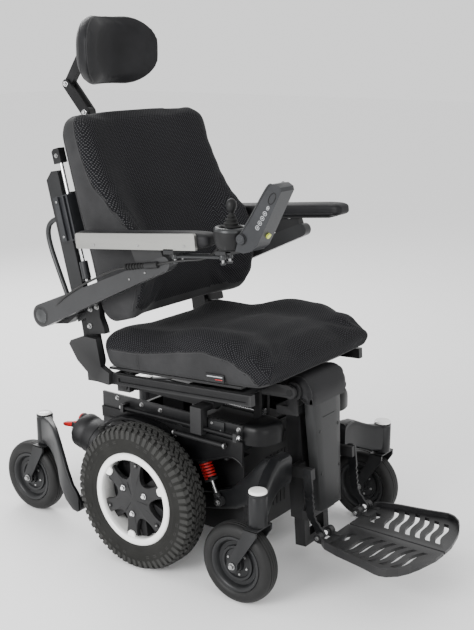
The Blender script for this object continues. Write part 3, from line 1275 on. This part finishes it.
# ---------------------------------------------------------------- base covers and motors
def make_base():
    for s, sg in SIDES:
        p = Piece("side_shroud_" + s, side=sg)
        low = catmull([(188, 320, 0), (150, 322, 0), (110, 318, 0), (60, 304, 0), (10, 298, 0),
                       (-27, 291, 0),
                       (-60, 279, 0), (-95, 271, 0), (-135, 275, 0), (-178, 291, 0), (-214, 303, 0),
                       (-238, 298, 0),
                       (-250, 288, 0)], step=6)
        out = [(q.x, q.y) for q in low] + [(-250, 348), (190, 348)]
        p.prism(out, "shroud", 202.6, 207.4)
        # rolled lower edge
        p.tube([(206.6, q.x, q.y + 1.5) for q in low[4:]], 2.6, "shroud", seg=10, raw=True)
        # fender lip over the tyre
        rows = [(207, 0), (214, 4), (228, 3.4), (236, 1.0), (237.4, -2.6), (236, -5.6), (207, -4)]
        verts = []
        top = catmull([(-44, 330, 0), (-20, 341, 0), (15, 346.5, 0), (60, 347.5, 0), (100, 342, 0),
                       (135, 328, 0),
                       (156, 315, 0)], step=6)
        n = len(rows)
        for q in top:
            for x, dz in rows:
                verts.append((x, q.x, q.y + dz - 1.5))
        faces = bands(len(top), n)
        faces.append(tuple(range(n)))
        faces.append(tuple((len(top) - 1) * n + k for k in reversed(range(n))))
        p.add(verts, faces, "shroud")
        # corner cover: a smooth shell over the front arm
        sec = ((341, 1.0), (350, 1.004), (366, 1.0), (376, 0.975), (383, 0.925), (387, 0.84),
               (388.4, 0.7))
        outline = catmull([(201, -244, 0), (200, -262, 0), (194, -282, 0), (180, -297, 0),
                           (160, -305, 0),
                           (142, -308, 0), (126, -306, 0), (112, -298, 0), (104.5, -284, 0),
                           (102.6, -266, 0),
                           (102.6, -247, 0)], step=5)
        verts = []
        m = len(outline)
        for z, k in sec:
            for q in outline:
                verts.append((148 + (q.x - 148) * k, -246 + (q.y + 246) * k, z))
        faces = bands(len(sec), m)
        faces.append(tuple((len(sec) - 1) * m + k for k in range(m)))
        faces.append(tuple(reversed(range(m))))
        p.add(verts, faces, "shroud")
        p.rod((207.2, -50, 320), (210.5, -50, 320), 5, "steel")
        p.bolt((207, 110, 334), (1, 0, 0), 4, 3, "steel", hexagon=False)
        p.done("base", bevel=1.1, replaces=("side_shroud_" + s,), merge=False)
        m = Piece("drive_motor_" + s, at=MOTOR, side=sg)
        prof = [(0, -40), (40, -40), (46, -36), (50, -20), (50, 30), (47, 40), (45, 44), (45, 60)]
        for y in range(64, 220, 12):      # cooling ribs
            prof += [(43.5, y), (43.5, y + 3), (45.8, y + 4), (45.8, y + 9), (43.5, y + 10)]
        prof += [(44, 226), (46, 228), (46, 250), (45, 252), (45, 262), (46, 264), (46, 280),
                 (44, 286), (38, 289),
                 (36, 295), (30, 296), (0, 296)]
        m.lathe(prof, "motor", axis="Y", seg=64, closed=False)
        m.rod((0, 270, 27), (0, 297, 27), 15, "motor", seg=28)
        m.rod((0, 292, 27), (0, 303, 27), 12.5, "red", seg=28, chamfer=2.0)
        m.rod((20, 286, -8), (20, 300, -8), 12, "plastic", seg=24, chamfer=1.5)
        for k in range(5):
            m.box(-30, -6, 294, 297.5, -30 + k * 6, -27 + k * 6, "plastic")
        for q in (-1, 1):
            m.box(min(q * 10, q * 14), max(q * 10, q * 14), 292, 318, -7, 7, "motor")
        m.rod((-14, 310, 0), (14, 310, 0), 3.9, "steel")
        for k in range(8):
            a = TAU * k / 8 + 0.2
            m.bolt((34 * math.cos(a), 293, 34 * math.sin(a)), (0, 1, 0), 2.6, 3.6, "steel",
                   hexagon=False, washer=False)
        m.done("base", bevel=0.7, merge=False)
        g = Piece("gearbox_" + s, side=sg)
        g.lathe([(0, 136), (40, 136), (48, 140), (52, 146), (52, 176), (49, 178), (49, 206),
                 (52, 208), (52, 226),
                 (48, 232), (30, 234), (12, 234.4), (11.9, 290), (10, 291.5), (0, 291.5)], "motor",
                (0, 0, 178), seg=56,
                closed=False)
        for k in range(6):
            a = TAU * k / 6
            g.bolt((227, 44 * math.cos(a), 178 + 44 * math.sin(a)), (1, 0, 0), 3.4, 5, "steel",
                   hexagon=False)
        # ribbed cable glands above the gearbox
        for y0 in (168, 190):
            g.lathe([(0, 262), (10, 262), (10, 266), (12, 267), (12, 270), (9.5, 271), (9.5, 273),
                     (11.6, 274),
                     (11.6, 277), (9, 278), (9, 280), (10.8, 281), (10.8, 284), (7, 287), (0, 287)],
                    "rubber",
                    (206, y0, 8), axis="Z", seg=24, closed=False)
        g.done("base", bevel=0.6, replaces=("drive_motor_" + s,), merge=False)
        b = Piece("brake_lever_" + s, at=MOTOR, side=sg)
        loft(b, [((0, 302, 2), (7.6, 0, 0), (0, 3, 8)), ((0, 312, 0), (7.8, 0, 0), (0, 2, 9)),
                 ((0, 328, -9), (7, 0, 0), (0, 3, 6)), ((0, 346, -18), (7.4, 0, 0), (0, 3, 5)),
                 ((0, 353, -21), (6, 0, 0), (0, 2, 3))], "red", n=20, power=4)
        b.done("release_" + s, replaces=("brake_lever_" + s,), merge=False)
    d = Piece("deck_fittings")
    for sg in (-1, 1):
        # slotted bracket and bolts on the deck side, chrome ends of the slide rods
        d.prism([(-150, 352), (-196, 352), (-196, 383), (-150, 383)], "arm",
                *sorted((sg * 202.2, sg * 206)))
        for y, z in ((-160, 376), (-186, 360), (-236, 374), (60, 374), (140, 376), (-100, 372),
                     (0, 372)):
            d.bolt((sg * 202, y, z), (sg, 0, 0), 4.4, 4.4, "steel")
        for y in (-246.5, 110.5):
            d.bolt((sg * 218, y, 362), (0, -1 if y < 0 else 1, 0), 5.6, 5, "chrome")
        d.rod((sg * 218, -208, 333), (sg * 218, -203, 333), 7, "steel")
        d.rod((sg * 218, -57, 333), (sg * 218, -52, 333), 7, "steel")
    for k in range(6):
        d.box(-44 + k * 16, -36 + k * 16, -203.6, -201.6, 110, 250, "plastic")
    d.done("base", bevel=0.6, merge=False)


# ---------------------------------------------------------------- armrests and joystick
def make_armrests():
    for s, sg in SIDES:
        a = Piece("arm_lever_" + s, side=sg)
        p, q = Vector((308, 579)), Vector((-92, 758))
        d = (q - p).normalized()
        n = Vector((d.y, -d.x))
        if n.y < 0:
            n = -n
        out = []
        for k in range(17):
            t = math.pi / 2 + math.pi * k / 16
            v = p + (d * math.cos(t) + n * math.sin(t)) * 29
            out.append((v.x, v.y))
        for frac, hw in ((0.25, 25), (0.6, 20.5), (0.9, 17.6)):
            v = p + (q - p) * frac - n * hw
            out.append((v.x, v.y))
        for k in range(13):
            t = -math.pi / 2 + math.pi * k / 12
            v = q + (d * math.cos(t) + n * math.sin(t)) * 16.6
            out.append((v.x, v.y))
        for frac, hw in ((0.9, 17.6), (0.6, 20.5), (0.25, 25)):
            v = p + (q - p) * frac + n * hw
            out.append((v.x, v.y))
        a.prism(out, "lever", 262, 288)
        # flat recessed side and end cap
        a.lathe([(0, 288), (0, 292.4), (8, 291.8), (14, 290.2), (18.6, 288.8), (19.6, 287.6),
                 (19.6, 286), (0, 286)], "tube",
                (0, 308, 579), seg=40, closed=False)
        a.lathe([(19.8, 288.2), (23.4, 288.2), (24, 287.4), (24, 286.2), (19.8, 286.2)], "plastic",
                (0, 308, 579),
                seg=40)
        a.rod((258, 308, 579), (262.5, 308, 579), 22, "plastic", seg=32)
        for frac in (0.74, 0.86):
            v = p + (q - p) * frac
            a.rod((286, v.x, v.y - 2), (288.5, v.x, v.y - 2), 4.2, "plastic", seg=18)
            a.bolt((287.4, v.x, v.y - 2), (1, 0, 0), 2.4, 1.6, "steel", hexagon=False, washer=False)
        a.prism([(-98, 747), (-20, 727), (10, 783.4), (-80, 792)], "black", 264, 286)
        a.done("arm_" + s, bevel=2.6, seg=3, replaces=("arm_lever_" + s,), merge=False)
    r = Piece("arm_rail", at=PAD, side=-1)
    r.prism([(-380, -3.6), (-380, 29), (-377, 32.6), (-26, 32.6), (-22, 29), (-22, -0.6),
             (-25, -3.6)], "rail", 296.6,
            304.6)
    r.box(250, 304.6, -318, -289, -12.6, -0.8, "lever")
    for x in (260, 284):
        r.rod((x, -304, -33), (x, -304, -12), 2.95, "steel")
        r.bolt((x, -304, -32), (0, 0, -1), 5.4, 4, "tube", hexagon=False)
    for y in (-80, -215, -350):
        r.bolt((304.4, y, 6), (1, 0, 0), 3, 1.6, "steel", hexagon=False, washer=False)
    r.done("arm_right", bevel=1.0, replaces=("arm_rail_right",), merge=False)
    for nme, x in (("inner", 260), ("outer", 284)):
        l = Piece("joystick_link_" + nme, at=PAD, side=-1)
        l.rod((x, -311, -20), (x, -430, -20), 3.9, "tube", seg=20)
        for y in (-304, -437):
            # the outer link's front hole is wider, where the linkage is open
            bore = 4.6 if nme == "outer" and y == -437 else 3.1
            l.lathe([(bore, -5.4), (6.8, -5.4), (7.2, -4.6), (7.2, 4.6), (6.8, 5.4), (bore, 5.4)],
                    "tube",
                    (x, y, -20), axis="Z", seg=28)
        l.done("joystick_swing_" + nme, bevel=0.3, replaces=("joystick_link_" + nme,), merge=False)
    # ribbed connector under the rail, with its lead
    c = Piece("lead_connector", at=AXLE, side=-1)
    c.rod((291, -40, 748), (291, -78, 755), 7.6, "plastic", seg=24)
    for k in range(7):
        y = 18 - k * 8.5
        c.rod((291, y, 738 - (y - 18) * 0.18), (291, y - 5.2, 738.9 - (y - 18) * 0.18),
              8.0 - 0.25 * k, "rubber", seg=22)
    c.tube([(291, 14, 738), (291, -40, 748)], 5.0, "rubber", seg=12)
    c.tube([(291, -76, 755), (289, -110, 764), (284, -150, 772), (276, -190, 778), (272, -214, 790),
            (272, -232, 806)], 2.6, "cable", seg=10)
    c.tube([(291, 16, 737), (291, 50, 728), (291, 100, 706), (291, 160, 676), (290, 220, 640),
            (284, 262, 606),
            (268, 292, 582), (258, 306, 566)], 2.6, "cable", seg=10)
    c.done("arm_right", merge=False)


def make_joystick():
    cx, cy = 272, -268
    p = Piece("joystick_pod", side=-1)
    p.lathe([(26.2, 831.5), (26.2, 851), (27.4, 855.6), (30, 857.2), (34.5, 856.4), (37.6, 853.4),
             (38.2, 849)], "tube",
            (cx, cy, 0), axis="Z", seg=64, closed=False)
    p.lathe([(38.2, 849), (38.0, 838), (36, 824), (31, 812), (24, 807.6), (0, 807)], "plastic",
            (cx, cy, 0), axis="Z",
            seg=64, closed=False)
    p.lathe([(0, 831.5), (26.2, 831.5)], "plastic", (cx, cy, 0), axis="Z", seg=64, closed=False)
    for q in (-1, 1):
        p.box(min(cx + q * 16, cx + q * 26), max(cx + q * 16, cx + q * 26), cy - 4, cy + 4, 841.5,
              843, "plastic")
    # control panel: a slim housing that rises forward from the bowl
    side_line = [(-296, 811), (-303, 840), (-330, 880), (-374, 950), (-384, 957.6), (-396, 958.6),
                 (-408, 952),
                 (-410, 944), (-398, 920), (-366, 856), (-350, 826), (-336, 814), (-316, 808)]
    p.prism(side_line, "panel", cx - 23.4, cx + 23.4)
    # pale trim down the rear edges
    for q in (-1, 1):
        p.tube([(cx + q * 23.2, -304, 842), (cx + q * 23.6, -331, 881), (cx + q * 23.6, -374, 949),
                (cx + q * 22, -386, 957)], 1.9, "tube", seg=8)
    # raised marks and an oval outline on the outer face
    d = Vector((0, -0.52, 0.854)).normalized()
    e = Vector((0, 0.854, 0.52)).normalized()
    base = Vector((cx + 23.6, -352, 866))
    for a, w in ((0, 7), (12, 7), (24, 7), (36, 7), (50, 5)):
        cpt = base + d * a
        ring = []
        for i in range(20):
            t = TAU * i / 20
            ring.append(cpt + d * (4.2 * math.cos(t)) + e * ((w - 2) * 0.9 * math.sin(t)))
        p.tube([tuple(v) for v in ring], 0.7, "mark", seg=6, closed=True, raw=True)
        p.rod(cpt + Vector((-0.4, 0, 0)), cpt + Vector((0.5, 0, 0)), 1.6, "mark", seg=14)
    ring = []
    for i in range(32):
        t = TAU * i / 32
        point = base + d * (72 + 13 * math.cos(t)) + e * (2 + 7 * math.sin(t))
        ring.append(tuple(point + Vector((-0.2, 0, 0))))
    p.tube(ring, 1.1, "plastic", seg=8, closed=True, raw=True)
    # disc between bowl and panel
    p.lathe([(0, 297), (11, 297), (11, 301), (9.6, 302.4), (6, 302.2), (5, 301.4), (0, 301.4)],
            "panel",
            (0, -312, 838), seg=32, closed=False)
    p.rod((293, -312, 838), (297.4, -312, 838), 12.4, "plastic", seg=32)
    # neck and link bracket below
    p.prism([(-246, 800), (-300, 806), (-300, 814), (-246, 812)], "plastic", cx - 16, cx + 16)
    p.done("joystick", bevel=1.4, seg=3, replaces=("joystick_pod",), merge=False)
    b = Piece("joystick_bracket", at=PAD, side=-1)
    b.box(252, 292, -451, -423, -14, -6, "lever")
    b.box(256, 288, -462, -446, -14, 10, "lever")
    for x in (260, 284):
        b.rod((x, -437, -33), (x, -437, -10), 2.95, "steel")
        b.bolt((x, -437, -32), (0, 0, -1), 5.4, 4, "tube", hexagon=False)
    b.done("joystick", bevel=1.2, merge=False)
    st = Piece("joystick_stick", side=-1)
    o = (cx, cy, 846)
    st.lathe([(0, 71), (3.4, 70.4), (7.4, 68), (10.4, 63.6), (11.8, 58), (11.4, 52.6), (9.4, 47),
              (7.2, 43.4),
              (6.2, 41.4), (6.6, 40.2), (5.6, 39.2), (0, 39.2)], "plastic", o, axis="Z", seg=40,
             closed=False)
    st.lathe([(0, 39), (5.6, 39), (6.2, 37), (9.4, 34.6), (10.2, 33.2), (8.2, 31.4), (8.4, 30),
              (12.4, 27.6), (13.2, 26),
              (10.8, 23.8), (11.2, 22.2), (15.6, 19.6), (16.4, 18), (14, 16), (14.6, 14.6),
              (18.2, 13), (19.0, 11.8),
              (18.4, 10.8), (4, 10.8), (4, 2), (0, 2)], "rubber", o, axis="Z", seg=40, closed=False)
    st.rod((cx, cy - 14.6, 846), (cx, cy + 14.6, 846), 1.9, "steel")
    st.ball((cx, cy, 846), 5.8, "steel")
    st.done("joystick_handle", replaces=("joystick_stick",), merge=False)


# ---------------------------------------------------------------- legrest and footplates
def make_legrest():
    c = Piece("legrest_cover", at=LEG)
    rows = [(-38, 61), (-60, 61), (-120, 56.5), (-200, 52), (-270, 49), (-304, 47.5)]
    verts = []
    prof = [(-1, -9), (-1, -28), (-0.95, -33), (-0.86, -35.6), (-0.5, -36.6), (0, -37),
            (0.5, -36.6), (0.86, -35.6),
            (0.95, -33), (1, -28), (1, -9)]
    n = len(prof)
    for z, hw in rows:
        for a, y in prof:
            verts.append((a * hw, y, z))
        for a, y in reversed(prof):
            verts.append((a * (hw - 3.4) if abs(a) > 0.9 else a * hw, y + (3.2 if y < -20 else 0),
                          z))
    m = 2 * n
    faces = bands(len(rows), m)
    for base in (0, (len(rows) - 1) * m):
        for k in range(n - 1):
            faces.append((base + k, base + k + 1, base + m - 2 - k, base + m - 1 - k))
    c.add(verts, faces, "cover")
    for x in (-39, 39):
        for z in (-108, -212):
            c.rod((x, -33, z), (x, -37.4, z), 4.2, "plastic", seg=20)
    c.prism([(-26, -76), (26, -76), (26, -74.6), (-26, -74.6)], "cover", -38.2, -36.4, axis="Y")
    c.done("legrest", bevel=0.9, replaces=("legrest_cover",), merge=False)
    h = Piece("footplate_hangers", at=LEG)
    for q in (-1, 1):
        x0, x1 = sorted((q * 96.8, q * 103))
        left, right = [], []
        for k in range(25):
            t = k / 24
            z = -182 - t * 156
            y = -35 - 5 * min(1, t / 0.72) - 26 * step(0.70, 1.0, t)
            notch = 2.6 if (k % 2 and 8 < k < 22) else 0.0
            left.append((y - 11.5 + notch, z))
            right.append((y + 11.5 - notch, z))
        h.prism([(-41, -179.5), (-29, -179.5)] + right + [(-62, -346)] + left[::-1], "arm", x0, x1)
        for z in (-198, -216, -234, -252):
            h.rod((q * 102, -36.5, z), (q * 103.3, -36.5, z), 3.4, "rubber", seg=16)
        # ball clamp at the heel hinge
        h.rod((q * 76.5, -67.6, -337.5), (q * 102.8, -67.6, -337.5), 9, "arm", seg=28, chamfer=1.5)
        h.rod((q * 50.5, -67.6, -337.5), (q * 123.6, -67.6, -337.5), 4.9, "steel")
        h.ball((q * 90, -67.6, -337.5), 10.4, "chrome")
    h.done("legrest", bevel=0.6, replaces=("footplate_hangers",), merge=False)


# ---------------------------------------------------------------- backrest frame
def make_back_frame():
    b = Piece("back_canes", at=BACK)
    w = Piece("back_links")
    for q in (-1, 1):
        lo, hi = sorted((q * 214.4, q * 231.6))
        # slender cane with a cut corner at its top
        b.prism([(44.5, 20), (88.5, 10), (88.5, 366), (66, 384), (44.5, 382)], "arm", lo, hi)
        b.rod((q * 225, 31, 104.5), (q * 225, 31, 404), 4.9, "chrome")
        b.lathe([(0, 111), (9.6, 111), (10.8, 112.4), (10.8, 153.4), (9.4, 155), (0, 155)], "panel",
                (q * 225, 31, 0),
                axis="Z", seg=32, closed=False)
        b.box(*sorted((q * 214.4, q * 229.6)), 28.4, 46, 106.4, 115.6, "black")
        # carriage block: an alloy channel over a dark core
        b.prism([(22.4, 208.4), (71.6, 208.4), (71.6, 321.6), (22.4, 321.6)], "panel",
                *sorted((q * 207, q * 233)))
        for y0, y1 in ((22.6, 27), (36, 40), (56, 71.4)):
            b.prism([(y0, 211), (y1, 211), (y1, 319), (y0, 319)], "panel",
                    *sorted((q * 232.5, q * 239.6)))
        for z in (222, 308):
            b.bolt((q * 239.2, 63, z), (q, 0, 0), 3, 1.6, "steel", hexagon=False, washer=False)
        # rod clamp at the top
        b.prism([(20.4, 397.4), (45.6, 397.4), (45.6, 428), (38, 433.6), (20.4, 433.6)], "black",
                *sorted((q * 214.4, q * 235.6)))
        b.bolt((q * 235.4, 33, 416), (q, 0, 0), 4, 3, "steel")
        # bent push bar
        b.tube([(q * 220, 84, 270), (q * 220, 106, 268), (q * 220, 126, 258), (q * 220, 136.4, 236),
                (q * 220, 136.4, 200), (q * 220, 128, 145), (q * 220, 119, 93), (q * 220, 109, 34),
                (q * 220, 100, 24), (q * 220, 82, 24)], 6.4, "tube", seg=16)
        # recline link, lug bracket and arm bracket, in the axle's frame
        pts = half_round((195, 470), 25.6, math.radians(170)) + half_round((224, 612), 21.6,
                                                                           math.radians(-10))
        w.prism(pts, "black", *sorted((q * 207.8, q * 221.2)))
        w.prism([(198, 613), (176, 625), (160, 627), (157, 587), (145, 562), (142, 548), (192, 540),
                 (205, 579)],
                "black", *sorted((q * 219.4, q * 237.6)))
        for y, z in ((188, 603), (192, 560), (166, 612)):
            w.bolt((q * 237.4, y, z), (q, 0, 0), 5, 5.5, "steel")
        w.prism([(214, 590), (250, 561), (306, 552), (333, 573), (325, 602), (256, 624),
                 (223, 624)], "black",
                *sorted((q * 226.4, q * 255.6)))
        w.rod((q * 226, 308, 579), (q * 257.6, 308, 579), 7.9, "steel")
    b.box(-219.6, 219.6, 80.4, 101.6, 300.4, 329.6, "black")
    b.box(-21.6, -10.6, 101.8, 140.6, 290.4, 339.6, "black")
    b.box(10.6, 21.6, 101.8, 140.6, 290.4, 339.6, "black")
    b.box(-21.6, 21.6, 129.8, 140.6, 290.4, 339.6, "black")
    b.box(-21.6, 21.6, 98, 108.4, 290.4, 339.6, "black")
    b.rod((0, 139, 315), (0, 154, 315), 4, "steel")
    b.rod((0, 152, 315), (0, 172, 315), 12, "plastic", seg=24, chamfer=3)
    b.done("back", bevel=0.9, merge=False)
    w.done("back", bevel=0.9, replaces=("back_frame",), merge=False)


make_back_frame()
make_arms()
make_base()
make_armrests()
make_joystick()
make_legrest()


# ---------------------------------------------------------------- CAD pieces that stay
KEEP = {
    "chassis_frame": "black", "batteries": "battery", "power_module": "plastic",
        "tilt_actuator_body": "black",
    "tilt_carriage": "black", "tilt_actuator_rod": "chrome", "seat_frame": "black",
        "seat_pan": "black",
    "back_shell": "plastic", "headrest_stem": "black", "joystick_gimbal": "steel",
    "power_button": "button", "legrest_post": "black", "footplate_right": "foot",
        "footplate_left": "foot"}
for name, mat in KEEP.items():
    keep(name, mat)
